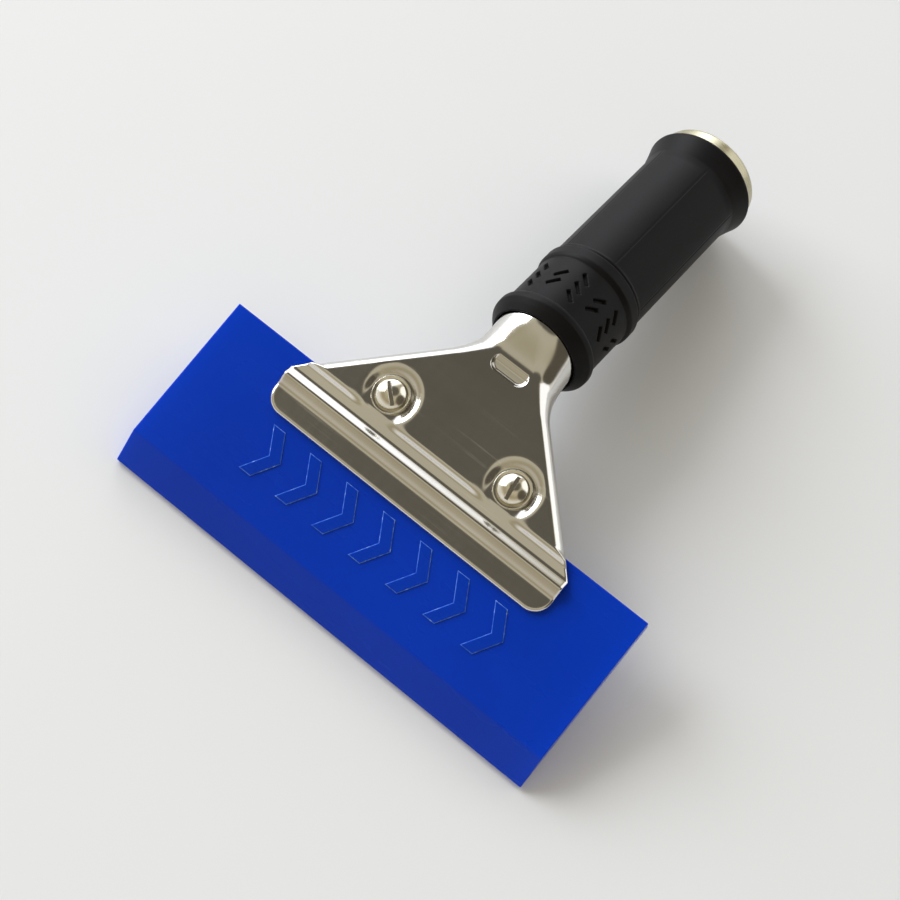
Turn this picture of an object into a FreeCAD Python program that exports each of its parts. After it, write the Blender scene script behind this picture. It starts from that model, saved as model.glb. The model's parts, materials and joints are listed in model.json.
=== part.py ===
"""Five inch squeegee applicator: a urethane blade held in a stamped steel head on a rubber grip.

The head is drawn in blade coordinates: X runs along the blade, the blade's rear edge is Y = 0,
its top face is Z = 0 and the handle lies towards +Y. The handle is drawn in its own coordinates:
Y runs down its axis from the mouth of the grip. Both are then turned and moved into the row
frame, where the tool lies on Z = 0 on the blade's front edge and the rim of the grip.
"""
import FreeCAD, Part
import math
import os

from FreeCAD import Placement, Rotation, Vector

# Blade
BLADE_LENGTH = 127.0
BLADE_DEPTH = 48.5
BLADE_THICKNESS = 6.35
BEVEL_RUN = 8.1
BEVEL_DROP = 5.0
BLADE_CORNER = 0.6
MARK_HEIGHT = 0.3
MARK_FRONT = -31.5
MARK_REAR = -18.0
MARK_ARM = 2.6
MARK_POINT = 4.05
MARK_PITCH = 11.5
MARK_COUNT = 7

# Steel head
SHEET = 1.2
JAW_HALF_WIDTH = 43.0
JAW_CORNER = 5.0
GRIP_DEPTH = 15.6
STEP_FRONT = 9.5
STEP_REAR = 8.3
STEP_RISE = 0.7
RIDGE = 5.9
RIDGE_RISE = 1.7
VALLEY = 3.9
VALLEY_RISE = 0.15
BAND_REAR = 1.5
BAND_RISE = 0.55
PLATE_FRONT = 0.6
LIP_TAIL = 0.5
PLATE_TOP = 3.0
BEND_RADIUS = 0.85
PLATE_HALF_WIDTH = 38.7
FOLD_RADIUS = 3.0
PARTING_GAP = 0.3
NECK_START = 23.0
NECK_START_Z = -4.3
LOWER_NECK_HEIGHT = 8.6
NECK_STEPS = 8

# Screws, washers and nuts
SCREW_X = 18.8
SCREW_Y = 5.0
DIMPLE_FLOOR_RADIUS = 6.0
DIMPLE_RIM_RADIUS = 7.1
DIMPLE_DRAFT = 1.1
SHANK_RADIUS = 1.8
SCREW_HOLE_RADIUS = 2.3
WASHER_RADIUS = 4.9
WASHER_BORE_RADIUS = 1.88
WASHER_THICKNESS = 0.8
HEAD_RADIUS = 3.75
HEAD_RIM = 0.9
HEAD_HEIGHT = 2.5
SLOT_WIDTH = 1.1
SLOT_DEPTH = 1.3
LEFT_SLOT_ANGLE = 137.0
RIGHT_SLOT_ANGLE = 97.0
NUT_ACROSS_FLATS = 7.0
NUT_HEIGHT = 3.2
NUT_BORE_RADIUS = 2.15
SHANK_PROUD = 0.6
SHANK_CHAMFER = 0.4
PILL_Y = 27.4
PILL_LENGTH = 10.5
PILL_WIDTH = 5.0
PILL_DEPTH = 1.4
PILL_POCKET_TOP = 2.6

# Handle, along its axis from the mouth of the grip
HANDLE_DROP = 24.5
MOUTH_Y = 36.1
MOUTH_Z = -5.4
NECK_RADIUS = 11.6
TAIL_SLACK = 0.2
CROWN_FLAT = 0.6
SWELL_START = 0.4
TAIL_LENGTH = 4.0
NECK_END = 6.0
TANG_START = 8.0
TANG_END = 34.0
TUBE_RADIUS = 12.0
TUBE_WALL = 1.0
TANG_RADIUS = 10.95
RIVET_STATIONS = {"rivet_front": 15.0, "rivet_rear": 28.0}
RIVET_RADIUS = 1.5
RIVET_HEAD_RADIUS = 2.6
RIVET_TAIL_RADIUS = 2.4
MOUTH_RADIUS = 12.55
MOUTH_EASE = (1.3, 13.4)
GRIP_LENGTH = 75.65
GRIP_RIM_RADIUS = 15.55
GRIP_RIM_ROUND = 0.8
BARREL_RADIUS = 14.05
BAND_RADIUS = 13.75
BAND_START = 5.4
BAND_END = 20.8
COLLAR_RADIUS = 14.7
COLLAR_START = 2.9
COLLAR_END = 4.4
COLLAR_EASE = (5.0, 14.45)
SECOND_COLLAR_RADIUS = 14.45
SECOND_COLLAR_START = 22.2
SECOND_COLLAR_END = 23.9
SECOND_COLLAR_EASE = (21.2, 14.1)
GROOVE_START = 24.7
GROOVE_END = 26.3
GROOVE_RADIUS = 13.4
FLARE_START = 66.0
FLARE_BOW = 0.42
SLOT_GROUPS = 14
GRIP_SLOT_LENGTH = 3.6
GRIP_SLOT_WIDTH = 0.8
GRIP_SLOT_DEPTH = 0.8
GRIP_SLOT_PITCH = 3.4
GRIP_SLOT_SLANT = 45.0
FLUTE_START = 29.5
FLUTE_END = 63.0
FLUTE_COUNT = 6
FLUTE_DEPTH = 0.45
FERRULE_START = 76.0
FERRULE_END = 79.7
FERRULE_RADIUS = 14.3
FERRULE_ROUND = 1.2
SOCKET_START = 56.0
SOCKET_RADIUS = 9.5
SOCKET_CHAMFER = 0.8

MID_Z = -BLADE_THICKNESS / 2
X_AXIS = Vector(1, 0, 0)
Y_AXIS = Vector(0, 1, 0)
Z_AXIS = Vector(0, 0, 1)


def loop(points):
    """A closed face with straight sides."""
    return Part.Face(Part.makePolygon([*points, points[0]]))


def cylinder(radius, height, centre, axis=Z_AXIS):
    return Part.makeCylinder(radius, height, centre, axis)


def offset_edges(points, radius, side):
    """One side of a bent sheet: straight runs joined by arcs, moved off its mid line."""
    edges = []
    start = None
    for index in range(1, len(points)):
        before = (points[index] - points[index - 1]).normalize()
        shift = Vector(0, -before.z, before.y) * side
        if start is None:
            start = points[0] + shift
        if index == len(points) - 1:
            edges.append(Part.LineSegment(start, points[index] + shift).toShape())
            continue
        after = (points[index + 1] - points[index]).normalize()
        turn = before.getAngle(after)
        reach = radius * math.tan(turn / 2)
        inward = (after - before).normalize()
        centre = points[index] + inward * (radius / math.cos(turn / 2))
        first = points[index] - before * reach
        last = points[index] + after * reach
        own_radius = radius + side * math.copysign(1, -shift.dot(inward) * side)
        next_shift = Vector(0, -after.z, after.y) * side
        bend = [first + shift, centre - inward * own_radius, last + next_shift]
        edges.append(Part.LineSegment(start, bend[0]).toShape())
        edges.append(Part.Arc(*bend).toShape())
        start = bend[2]
    return edges


def sheet_section(points):
    """The closed section of a sheet of even thickness that follows points with rounded bends."""
    top = offset_edges(points, BEND_RADIUS, SHEET / 2)
    bottom = offset_edges(points, BEND_RADIUS, -SHEET / 2)
    ends = [
        Part.LineSegment(top[0].Vertexes[0].Point, bottom[0].Vertexes[0].Point).toShape(),
        Part.LineSegment(top[-1].Vertexes[-1].Point, bottom[-1].Vertexes[-1].Point).toShape(),
    ]
    return Part.Face(Part.Wire(Part.__sortEdges__(top + bottom + ends)))


def jaw_outline():
    """Plan of the lip: round front corners, and rear corners cut at 45 degrees to meet the plate."""
    margin = 1.0
    front = -GRIP_DEPTH
    shoulder = PLATE_HALF_WIDTH - JAW_HALF_WIDTH
    right = [(JAW_HALF_WIDTH, front), (JAW_HALF_WIDTH, shoulder), (PLATE_HALF_WIDTH - LIP_TAIL, LIP_TAIL)]
    left = [(-x, y) for x, y in reversed(right)]
    prism = loop([Vector(x, y, -margin) for x, y in right + left])
    prism = prism.extrude(Z_AXIS * (PLATE_TOP + 2 * margin))
    corners = [
        edge for edge in prism.Edges
        if edge.BoundBox.ZLength > 1 and abs(edge.BoundBox.YMin - front) < 0.01
    ]
    return prism.makeFillet(JAW_CORNER, corners)


def jaw_lip():
    """The lip, its step, the stiffening ridge and the valley in front of the plate."""
    half = SHEET / 2
    middle = [
        (-GRIP_DEPTH, 0),
        (-STEP_FRONT, 0),
        (-STEP_REAR, STEP_RISE),
        (-RIDGE, RIDGE_RISE),
        (-VALLEY, VALLEY_RISE),
        (-BAND_REAR, BAND_RISE),
        (-PLATE_FRONT, PLATE_TOP - SHEET),
        (2 * LIP_TAIL, PLATE_TOP - SHEET),
    ]
    points = [Vector(-JAW_HALF_WIDTH, y, z + half) for y, z in middle]
    sheet = sheet_section(points).extrude(X_AXIS * (2 * JAW_HALF_WIDTH))
    return sheet.common(jaw_outline())


def arch(half_width, height, radius, skirt=0.0):
    """A flat-topped arch in the XZ plane that stands on Z = -skirt."""
    radius = min(radius, half_width - CROWN_FLAT, height - CROWN_FLAT)
    lean = radius * (1 - math.sqrt(0.5))
    left = [
        Vector(-half_width, 0, -skirt),
        Vector(-half_width, 0, height - radius),
        Vector(lean - half_width, 0, height - lean),
        Vector(radius - half_width, 0, height),
    ]
    right = [Vector(-p.x, p.y, p.z) for p in left]
    edges = [
        Part.LineSegment(left[0], left[1]),
        Part.Arc(left[1], left[2], left[3]),
        Part.LineSegment(left[3], right[3]),
        Part.Arc(right[3], right[2], right[1]),
        Part.LineSegment(right[1], right[0]),
        Part.LineSegment(right[0], left[0]),
    ]
    return Part.Wire([edge.toShape() for edge in edges])


def station(place, size, inset, skirt, flip):
    """One arch of the head, inset by the sheet's thickness for the inside, flipped for the lower half."""
    y, z, tilt = place
    half_width, height, radius = size
    side = inset
    if y < NECK_START:
        side = inset * math.sqrt(2)
    wire = arch(half_width - side, height - inset, max(radius - inset, 0.5), skirt)
    if flip:
        wire = wire.mirror(Vector(), Z_AXIS)
    wire.Placement = Placement(Vector(0, y, z), Rotation(X_AXIS, -tilt))
    return wire


def ease(step):
    """A smooth rise from 0 to 1."""
    step = min(max(step, 0.0), 1.0)
    return step * step * (3 - 2 * step)


def handle_point(along, up=0.0):
    """A point of the handle's mid plane in blade coordinates."""
    drop = math.radians(HANDLE_DROP)
    return Vector(
        0,
        MOUTH_Y + along * math.cos(drop) + up * math.sin(drop),
        MOUTH_Z - along * math.sin(drop) + up * math.cos(drop),
    )


def neck_sizes(step, radius, flip):
    """Half width, height and fold radius of the neck, from the plate (0) to the grip's mouth (1)."""
    plate = PLATE_HALF_WIDTH - NECK_START
    half_width = radius + (plate - radius) * (1 - step) ** 3
    fold = FOLD_RADIUS + (radius - FOLD_RADIUS) * ease(step)
    if flip:
        return half_width, LOWER_NECK_HEIGHT + (radius - LOWER_NECK_HEIGHT) * step, fold
    upright = PLATE_TOP - NECK_START_Z
    swell = ease((step - SWELL_START) / (1 - SWELL_START))
    return half_width, upright + (radius - upright) * swell, fold


def hull(radius, start, end, inset, skirt, flip):
    """Half of the hollow head, from behind the blade to its round tail in the grip."""
    near = 0.05 if inset else 0.0
    mouth = handle_point(0)
    tail = handle_point(end + near)
    front = (start - near, MID_Z, 0)
    rows = [(front, (PLATE_HALF_WIDTH - front[0], PLATE_TOP - MID_Z, FOLD_RADIUS))]
    for index in range(NECK_STEPS + 1):
        step = index / NECK_STEPS
        y = NECK_START + (mouth.y - NECK_START) * step
        z = NECK_START_Z + (mouth.z - NECK_START_Z) * step
        rows.append(((y, z, HANDLE_DROP * ease(step)), neck_sizes(step, radius, flip)))
    rows.append(((tail.y, tail.z, HANDLE_DROP), (radius, radius, radius)))
    return Part.makeLoft([station(*row, inset, skirt, flip) for row in rows], True, True)


def half_head(radius, start, end, flip):
    outside = hull(radius, start, end, 0.0, 0.0, flip)
    return outside.cut(hull(radius, start, end, SHEET, 2.0, flip))


def dimple_boss(x):
    """Metal pressed in around a screw, before the recess is cut."""
    depth = PLATE_TOP - VALLEY_RISE
    rim = DIMPLE_RIM_RADIUS + SHEET
    return Part.makeCone(rim - DIMPLE_DRAFT, rim, depth, Vector(x, SCREW_Y, VALLEY_RISE))


def dimple_recess(x, depth):
    """The round recess and screw hole, drawn downwards from the recess floor."""
    floor = Vector(x, SCREW_Y, VALLEY_RISE + SHEET)
    slope = (DIMPLE_RIM_RADIUS - DIMPLE_FLOOR_RADIUS) / (PLATE_TOP - VALLEY_RISE - SHEET)
    cone = Part.makeCone(DIMPLE_FLOOR_RADIUS, DIMPLE_FLOOR_RADIUS + slope * depth, depth, floor)
    hole = cylinder(SCREW_HOLE_RADIUS, SHEET * 3, Vector(x, SCREW_Y, VALLEY_RISE - SHEET))
    return cone.fuse(hole)


def pill(length, width, bottom, top):
    """An upright pill-shaped prism across the neck."""
    reach = (length - width) / 2
    ends = [cylinder(width / 2, top - bottom, Vector(x, PILL_Y, bottom)) for x in (-reach, reach)]
    middle = Part.makeBox(2 * reach, width, top - bottom, Vector(-reach, PILL_Y - width / 2, bottom))
    return middle.fuse(ends).removeSplitter()


def tang():
    """Half-round tail of the upper shell, stepped down to lie inside the core tube."""
    root = NECK_RADIUS - 0.2
    outer = [
        (NECK_END - 1, root),
        (NECK_END, root),
        (TANG_START, TANG_RADIUS),
        (TANG_END, TANG_RADIUS),
    ]
    inner = [
        (TANG_END, TANG_RADIUS - SHEET),
        (TANG_START, TANG_RADIUS - SHEET),
        (NECK_END, root - SHEET + 0.4),
        (NECK_END - 1, root - SHEET + 0.4),
    ]
    face = loop([Vector(r, y, 0) for y, r in outer + inner])
    return face.revolve(Vector(), Y_AXIS, -180)


def rivet(along):
    """A countersunk rivet through the top of the core tube and the tang, its tail upset inside."""
    neck = TUBE_RADIUS - TUBE_WALL
    tang_inside = TANG_RADIUS - SHEET
    head = Part.makeCone(RIVET_RADIUS, RIVET_HEAD_RADIUS, TUBE_WALL - 0.05, Vector(0, along, neck))
    tail = cylinder(RIVET_TAIL_RADIUS, 1.0, Vector(0, along, tang_inside - 1.1))
    shank = cylinder(RIVET_RADIUS, neck - tang_inside + 0.6, Vector(0, along, tang_inside - 0.6))
    tube = cylinder(TUBE_RADIUS - 0.02, TANG_END, Vector(), Y_AXIS)
    return head.fuse([shank, tail]).removeSplitter().common(tube)


def in_handle(shape):
    """Move a shape from handle coordinates to blade coordinates."""
    moved = shape.copy()
    moved.Placement = Placement(handle_point(0), Rotation(X_AXIS, -HANDLE_DROP)).multiply(moved.Placement)
    return moved


def upper_shell():
    shell = half_head(NECK_RADIUS, 0.0, NECK_END, False)
    bosses = [dimple_boss(x) for x in (-SCREW_X, SCREW_X)]
    floor = PLATE_TOP - PILL_DEPTH
    pocket = pill(PILL_LENGTH + 2 * SHEET, PILL_WIDTH + 2 * SHEET, floor - SHEET, PILL_POCKET_TOP)
    shell = shell.fuse([jaw_lip(), pocket, in_handle(tang()), *bosses])
    recesses = [dimple_recess(x, 2 * PLATE_TOP) for x in (-SCREW_X, SCREW_X)]
    cuts = [*recesses, pill(PILL_LENGTH, PILL_WIDTH, floor, 2 * PLATE_TOP)]
    holes = [in_handle(rivet(along)) for along in RIVET_STATIONS.values()]
    return shell.cut(cuts + holes).removeSplitter()


def lower_shell():
    """The opposite half: the same lip turned over, and a tail that hooks into the grip's mouth."""
    head = half_head(NECK_RADIUS - TAIL_SLACK, PARTING_GAP, TAIL_LENGTH, True)
    parting = MID_Z - PARTING_GAP
    reach = BLADE_LENGTH
    keep = Part.makeBox(2 * reach, 2 * reach, reach, Vector(-reach, -reach, parting - reach))
    gap = Vector(-reach, 0, -PARTING_GAP)
    above = loop([
        Vector(-reach, -GRIP_DEPTH, parting),
        Vector(-reach, 0, parting),
        handle_point(0) + gap,
        handle_point(2 * TAIL_LENGTH) + gap,
        Vector(-reach, reach, reach),
        Vector(-reach, -GRIP_DEPTH, reach),
    ]).extrude(X_AXIS * (2 * reach))
    head = head.cut(above)
    parts = [jaw_lip(), *[dimple_boss(x) for x in (-SCREW_X, SCREW_X)]]
    turned = [shape.mirror(Vector(0, 0, MID_Z), Z_AXIS) for shape in parts]
    recesses = [dimple_recess(x, 2 * PLATE_TOP) for x in (-SCREW_X, SCREW_X)]
    turned_cuts = [shape.mirror(Vector(0, 0, MID_Z), Z_AXIS) for shape in recesses]
    return head.fuse([shape.common(keep) for shape in turned]).cut(turned_cuts).removeSplitter()


def chevron(x):
    """One raised arrow of the pattern pressed into the blade."""
    middle = (MARK_FRONT + MARK_REAR) / 2
    arm = MARK_ARM * math.sqrt(2)
    near = [(x, MARK_FRONT), (x + arm, MARK_FRONT), (x + arm + MARK_POINT, middle)]
    far = [(x + arm, MARK_REAR), (x, MARK_REAR), (x + MARK_POINT, middle)]
    root = Vector(0, 0, -MARK_HEIGHT)
    return loop([Vector(px, py, 0) + root for px, py in near + far]).extrude(Z_AXIS * (2 * MARK_HEIGHT))


def blade():
    """A flat urethane bar, bevelled along its front edge on the upper side."""
    points = [
        Vector(-BLADE_LENGTH / 2, 0, 0),
        Vector(-BLADE_LENGTH / 2, 0, -BLADE_THICKNESS),
        Vector(-BLADE_LENGTH / 2, -BLADE_DEPTH, -BLADE_THICKNESS),
        Vector(-BLADE_LENGTH / 2, -BLADE_DEPTH, -BEVEL_DROP),
        Vector(-BLADE_LENGTH / 2, BEVEL_RUN - BLADE_DEPTH, 0),
    ]
    body = loop(points).extrude(X_AXIS * BLADE_LENGTH)
    uprights = [
        edge for edge in body.Edges
        if edge.BoundBox.XLength < 0.01 and edge.BoundBox.YLength < 0.01
    ]
    body = body.makeFillet(BLADE_CORNER, uprights)
    first = -MARK_PITCH * (MARK_COUNT - 1) / 2 - MARK_ARM
    marks = [chevron(first + MARK_PITCH * index) for index in range(MARK_COUNT)]
    return body.fuse(marks).removeSplitter()


def washer(x):
    seat = Vector(x, SCREW_Y, VALLEY_RISE + SHEET)
    return cylinder(WASHER_RADIUS, WASHER_THICKNESS, seat).cut(
        cylinder(WASHER_BORE_RADIUS, WASHER_THICKNESS, seat))


def screw(x, slot_angle):
    """A slotted screw with a low domed head that reaches through to the far side of its nut."""
    seat = VALLEY_RISE + SHEET + WASHER_THICKNESS
    dome = HEAD_HEIGHT - HEAD_RIM
    curve = (HEAD_RADIUS ** 2 + dome ** 2) / (2 * dome)
    ball = Part.makeSphere(curve, Vector(x, SCREW_Y, seat + HEAD_HEIGHT - curve))
    head = cylinder(HEAD_RADIUS, HEAD_HEIGHT, Vector(x, SCREW_Y, seat)).common(ball)
    tip = 2 * MID_Z - VALLEY_RISE - SHEET - NUT_HEIGHT - SHANK_PROUD
    shank = cylinder(SHANK_RADIUS, seat - tip, Vector(x, SCREW_Y, tip))
    shank = shank.makeChamfer(SHANK_CHAMFER, [e for e in shank.Edges if e.BoundBox.ZMax < tip + 0.1])
    slot = Part.makeBox(3 * HEAD_RADIUS, SLOT_WIDTH, 2 * SLOT_DEPTH)
    slot.translate(Vector(-1.5 * HEAD_RADIUS, -SLOT_WIDTH / 2, 0))
    slot.Placement = Placement(
        Vector(x, SCREW_Y, seat + HEAD_HEIGHT - SLOT_DEPTH),
        Rotation(Z_AXIS, slot_angle),
    ).multiply(slot.Placement)
    return head.fuse(shank).cut(slot).removeSplitter()


def nut(x):
    """A hexagon nut fixed in the lower shell's recess."""
    corner = NUT_ACROSS_FLATS / math.sqrt(3)
    top = 2 * MID_Z - VALLEY_RISE - SHEET
    angles = [math.radians(angle) for angle in range(30, 390, 60)]
    points = [Vector(x + corner * math.cos(a), SCREW_Y + corner * math.sin(a), top) for a in angles]
    body = loop(points).extrude(Z_AXIS * -NUT_HEIGHT)
    base = Vector(x, SCREW_Y, top - NUT_HEIGHT)
    round_off = Part.makeCone(corner - 0.5, corner + 1.5, NUT_HEIGHT * 1.2, base)
    bore = cylinder(NUT_BORE_RADIUS, NUT_HEIGHT, base)
    return body.common(round_off).cut(bore)


def core_tube():
    length = FERRULE_START - TANG_START
    start = Vector(0, TANG_START, 0)
    tube = cylinder(TUBE_RADIUS, length, start, Y_AXIS)
    tube = tube.cut(cylinder(TUBE_RADIUS - TUBE_WALL, length, start, Y_AXIS))
    return tube.cut([rivet(along) for along in RIVET_STATIONS.values()])


def end_ferrule():
    """A plated ring over the end of the grip, with a spigot in the tube that lines the pole socket."""
    spigot = TUBE_RADIUS - TUBE_WALL
    points = [
        Vector(SOCKET_RADIUS, SOCKET_START, 0),
        Vector(spigot, SOCKET_START, 0),
        Vector(spigot, FERRULE_START, 0),
        Vector(FERRULE_RADIUS, FERRULE_START, 0),
        Vector(FERRULE_RADIUS, FERRULE_END, 0),
        Vector(SOCKET_RADIUS + SOCKET_CHAMFER, FERRULE_END, 0),
        Vector(SOCKET_RADIUS, FERRULE_END - SOCKET_CHAMFER, 0),
    ]
    ring = loop(points).revolve(Vector(), Y_AXIS, 360)
    rims = [
        edge for edge in ring.Edges
        if edge.Closed and abs(edge.BoundBox.XMax - FERRULE_RADIUS) < 0.01
    ]
    return ring.makeFillet(FERRULE_ROUND, rims)


def grip_profile():
    """Half section of the moulded grip, from the mouth to the flared rim."""
    outer = [
        (0.0, TUBE_RADIUS),
        (0.0, MOUTH_RADIUS),
        MOUTH_EASE,
        (COLLAR_START, COLLAR_RADIUS),
        (COLLAR_END, COLLAR_RADIUS),
        COLLAR_EASE,
        (BAND_START, BAND_RADIUS),
        (BAND_END, BAND_RADIUS),
        SECOND_COLLAR_EASE,
        (SECOND_COLLAR_START, SECOND_COLLAR_RADIUS),
        (SECOND_COLLAR_END, SECOND_COLLAR_RADIUS),
        (GROOVE_START, GROOVE_RADIUS),
        (GROOVE_END, BARREL_RADIUS),
        (FLARE_START, BARREL_RADIUS),
    ]
    rim_start = GRIP_LENGTH - GRIP_RIM_ROUND
    tail = [
        (rim_start, GRIP_RIM_RADIUS),
        (GRIP_LENGTH, GRIP_RIM_RADIUS - GRIP_RIM_ROUND),
        (GRIP_LENGTH, TUBE_RADIUS),
        (0.0, TUBE_RADIUS),
    ]
    front = [Vector(radius, along, 0) for along, radius in outer]
    back = [Vector(radius, along, 0) for along, radius in tail]
    bow = Vector(BARREL_RADIUS + FLARE_BOW, (FLARE_START + GRIP_LENGTH) / 2, 0)
    edges = [Part.LineSegment(p, q).toShape() for p, q in zip(front, front[1:])]
    edges.append(Part.Arc(front[-1], bow, back[0]).toShape())
    edges += [Part.LineSegment(p, q).toShape() for p, q in zip(back, back[1:])]
    return Part.Face(Part.Wire(edges))


def grip_slots():
    """Short slots in groups of three and two around the front of the grip, slanted in turn."""
    middle = (BAND_START + BAND_END) / 2
    slots = []
    for group in range(SLOT_GROUPS):
        offsets = (-1, 0, 1)
        slant = GRIP_SLOT_SLANT
        if group % 2:
            offsets = (-0.5, 0.5)
            slant = -GRIP_SLOT_SLANT
        for offset in offsets:
            slot = Part.makeBox(GRIP_SLOT_WIDTH, GRIP_SLOT_LENGTH, 2 * GRIP_SLOT_DEPTH)
            slot.translate(Vector(-GRIP_SLOT_WIDTH / 2, -GRIP_SLOT_LENGTH / 2, -GRIP_SLOT_DEPTH))
            centre = Vector(0, middle + offset * GRIP_SLOT_PITCH, BAND_RADIUS)
            place = Placement(centre, Rotation(Z_AXIS, slant))
            around = Placement(Vector(), Rotation(Y_AXIS, group * 360 / SLOT_GROUPS))
            slot.Placement = around.multiply(place).multiply(slot.Placement)
            slots.append(slot)
    return slots


def flute_ring():
    """What is shaved off the barrel to leave six long, slightly flattened panels."""
    half = math.pi / FLUTE_COUNT
    crest = BARREL_RADIUS
    low = crest - FLUTE_DEPTH
    arcs = []
    for index in range(FLUTE_COUNT):
        angles = [2 * half * index, 2 * half * index + half, 2 * half * (index + 1)]
        radii = [crest, low, crest]
        ends = [Vector(r * math.sin(a), FLUTE_START, r * math.cos(a)) for a, r in zip(angles, radii)]
        arcs.append(Part.Arc(*ends).toShape())
    star = Part.Face(Part.Wire(arcs)).extrude(Y_AXIS * (FLUTE_END - FLUTE_START))
    disc = cylinder(crest + 1, FLUTE_END - FLUTE_START, Vector(0, FLUTE_START, 0), Y_AXIS)
    return disc.cut(star)


def grip_sleeve():
    body = grip_profile().revolve(Vector(), Y_AXIS, 360)
    return body.cut([flute_ring(), *grip_slots()]).removeSplitter()


def row_placement():
    """Lay the tool on its blade's front edge and the grip's rim, centred over the origin."""
    toe = Vector(0, -BLADE_DEPTH, -BLADE_THICKNESS)
    rim = handle_point(GRIP_LENGTH - GRIP_RIM_ROUND, -GRIP_RIM_RADIUS)
    tilt = math.degrees(math.atan2(toe.z - rim.z, rim.y - toe.y))
    turn = Rotation(X_AXIS, tilt)
    front = turn.multVec(Vector(0, -BLADE_DEPTH, -BEVEL_DROP)).y
    round_centre = handle_point(FERRULE_END - FERRULE_ROUND, FERRULE_RADIUS - FERRULE_ROUND)
    back = turn.multVec(round_centre).y + FERRULE_ROUND
    return Placement(Vector(0, -(front + back) / 2, -turn.multVec(toe).z), turn)


def main():
    os.makedirs("parts", exist_ok=True)
    head = {
        "blade": blade(),
        "upper_shell": upper_shell(),
        "lower_shell": lower_shell(),
        "washer_left": washer(-SCREW_X),
        "washer_right": washer(SCREW_X),
        "screw_left": screw(-SCREW_X, LEFT_SLOT_ANGLE),
        "screw_right": screw(SCREW_X, RIGHT_SLOT_ANGLE),
        "nut_left": nut(-SCREW_X),
        "nut_right": nut(SCREW_X),
    }
    handle = {
        "core_tube": core_tube(),
        "grip_sleeve": grip_sleeve(),
        "end_ferrule": end_ferrule(),
    }
    for name, along in RIVET_STATIONS.items():
        handle[name] = rivet(along)
    shapes = dict(head)
    for name, shape in handle.items():
        shapes[name] = in_handle(shape)
    row = row_placement()
    for name, shape in shapes.items():
        placed = shape.copy()
        placed.Placement = row.multiply(placed.Placement)
        placed.exportStep(f"parts/{name}.step")
        box = placed.BoundBox
        print(name, len(placed.Solids), placed.isValid(), round(placed.Volume, 1),
              [round(v, 2) for v in (box.XMin, box.XMax, box.YMin, box.YMax, box.ZMin, box.ZMax)])


main()
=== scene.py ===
"""Looks of the five inch squeegee applicator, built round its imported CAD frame.

Pieces are drawn in blade coordinates, in millimetres: X runs along the blade, the blade's rear
edge is Y = 0, its top face is Z = 0 and the handle lies towards +Y. The handle is drawn in its own
coordinates, where Y runs down its axis from the mouth of the grip. TO_ROW and IN_HANDLE place both
in the row frame, in metres, from the left screw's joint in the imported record.
"""
import json
import math

import bmesh
import bpy
import numpy as np
from mathutils import Matrix, Vector


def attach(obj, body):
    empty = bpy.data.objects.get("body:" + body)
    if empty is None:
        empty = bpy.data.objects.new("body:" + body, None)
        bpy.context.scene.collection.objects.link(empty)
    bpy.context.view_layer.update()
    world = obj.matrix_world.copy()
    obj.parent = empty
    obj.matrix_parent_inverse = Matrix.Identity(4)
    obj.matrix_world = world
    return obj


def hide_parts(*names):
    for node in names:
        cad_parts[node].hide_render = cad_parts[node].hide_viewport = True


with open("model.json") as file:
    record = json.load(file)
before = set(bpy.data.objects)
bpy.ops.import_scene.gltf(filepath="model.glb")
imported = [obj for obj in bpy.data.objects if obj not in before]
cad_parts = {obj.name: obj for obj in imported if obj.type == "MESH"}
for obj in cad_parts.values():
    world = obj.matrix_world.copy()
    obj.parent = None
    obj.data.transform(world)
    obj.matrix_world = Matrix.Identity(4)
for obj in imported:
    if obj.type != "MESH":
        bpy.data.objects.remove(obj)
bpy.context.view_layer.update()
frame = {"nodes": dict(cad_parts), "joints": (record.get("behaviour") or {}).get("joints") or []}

MM = 0.001

# Blade
BLADE_LENGTH = 127.0
BLADE_DEPTH = 48.5
BLADE_THICKNESS = 6.35
BEVEL_RUN = 8.1
BEVEL_DROP = 5.0
BLADE_ROUND = 0.28
MARK_HEIGHT = 0.3
MARK_FRONT = -31.5
MARK_REAR = -18.0
MARK_ARM = 2.6
MARK_POINT = 4.05
MARK_PITCH = 11.5
MARK_COUNT = 7
MARK_ROUND = 0.19

# Steel head
MID_Z = -BLADE_THICKNESS / 2
SHEET = 1.2
JAW_HALF_WIDTH = 43.0
JAW_CORNER = 5.0
GRIP_DEPTH = 15.6
RIM_ROUND = 0.9
PLATE_TOP = 2.75
PLATE_HALF_WIDTH = 38.7
PLATE_REAR = 0.6
FOLD_RADIUS = 3.9
# Height of the lip, the ridge and the band behind it, front to rear
LIP_PROFILE = (
    (-GRIP_DEPTH, 1.2), (-9.6, 1.2), (-8.4, 1.9), (-6.5, 2.8), (-4.35, 1.25), (0.0, 1.93), (5.0, 1.93),
)
RISE_START = -1.75
RISE_RUN = 1.3
# From here back the top is the plate's, less what is pressed into it
HOLLOW_START = RISE_START - 0.4
PROFILE_BLUR = 0.38
# Between these two the mesh rows lie close together
LIP_FINE_FROM = -10.6
PLATE_FINE_TO = 13.0
RIM_FADE = 0.9
NECK_START = 23.0
NECK_START_Z = -4.3
NECK_RADIUS = 11.6
# Over this length the sheet's inside goes from following the 45 degree cuts to following the neck
NECK_FADE = 4.0
LOWER_NECK_HEIGHT = 8.6
UPPER_TAIL = 6.0
LOWER_TAIL = 4.0
TAIL_SLACK = 0.2
TANG_START = 8.0
TANG_END = 34.0
TANG_RADIUS = 10.95
SWELL_START = 0.4
HANDLE_DROP = 24.5
MOUTH_Y = 36.1
MOUTH_Z = -5.4
PARTING_GAP = 0.3

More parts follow.
